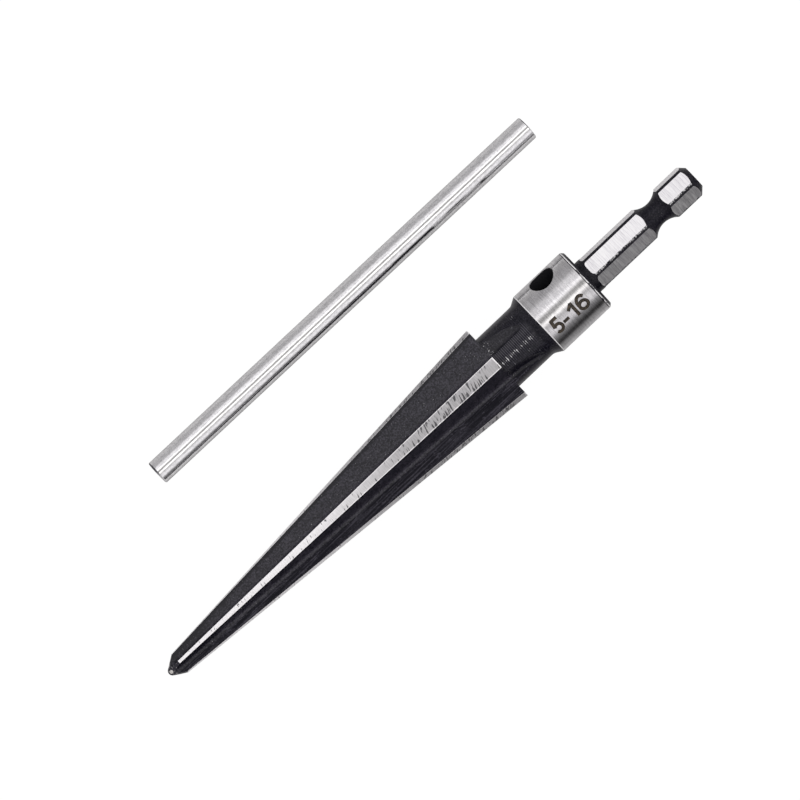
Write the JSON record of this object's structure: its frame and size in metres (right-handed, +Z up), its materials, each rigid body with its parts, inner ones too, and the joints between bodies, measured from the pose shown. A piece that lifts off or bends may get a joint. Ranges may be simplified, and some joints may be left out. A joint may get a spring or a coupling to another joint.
{
  "type": "t-handle taper reamer",
  "caption": "Straight-fluted taper reamer with a cross-drilled collar and a hexagonal shank, lying beside the loose tommy bar that turns it.",
  "frame": {"origin": "the middle of the footprint of the reamer and its bar, on the bench they lie on", "axes": "+X from the reamer's point towards its shank, +Y from the reamer towards the bar, +Z up"},
  "size_m": [0.1298, 0.038, 0.0154],
  "materials": {
    "black_oxide_steel": "black oxide all over, with the lands, collar and hexagon's flats ground bright afterwards",
    "bright_steel": "bright drawn round bar, straight off a centreless grinder"
  },
  "bodies": {
    "root": {"reamer": "black_oxide_steel", "tommy_bar": "bright_steel"}
  },
  "joints": []
}
